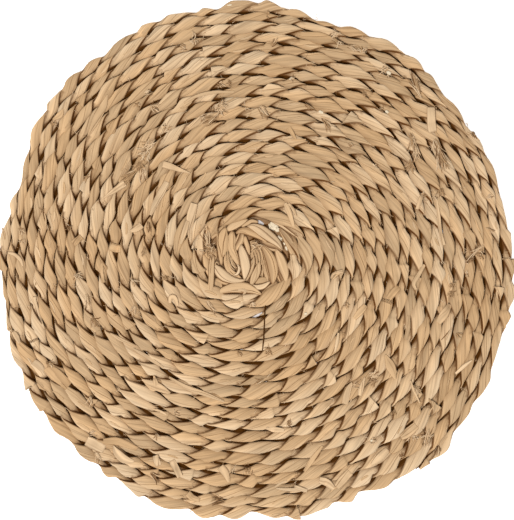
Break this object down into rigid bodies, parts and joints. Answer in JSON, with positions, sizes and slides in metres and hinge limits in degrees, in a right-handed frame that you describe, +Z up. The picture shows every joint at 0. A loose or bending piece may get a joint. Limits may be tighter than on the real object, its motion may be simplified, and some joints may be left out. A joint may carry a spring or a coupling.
{
  "type": "round trivet mat",
  "caption": "Flat round table mat of one twisted dried-leaf rope, coiled from its eye and sewn turn to turn.",
  "frame": {"origin": "under the middle of the mat's outline, on the table", "axes": "+Z up out of the mat's top; seen from above with +Y away and +X to the right, the rope's cut end lies at about 52 degrees clockwise from +X"},
  "size_m": [0.2998, 0.301, 0.0064],
  "materials": {
    "dried_leaf": "dry twisted leaf, matt to faintly satin, warm straw tan with paler and greyer strips"
  },
  "bodies": {
    "root": {"coiled_rope_mat": "dried_leaf"}
  },
  "joints": []
}
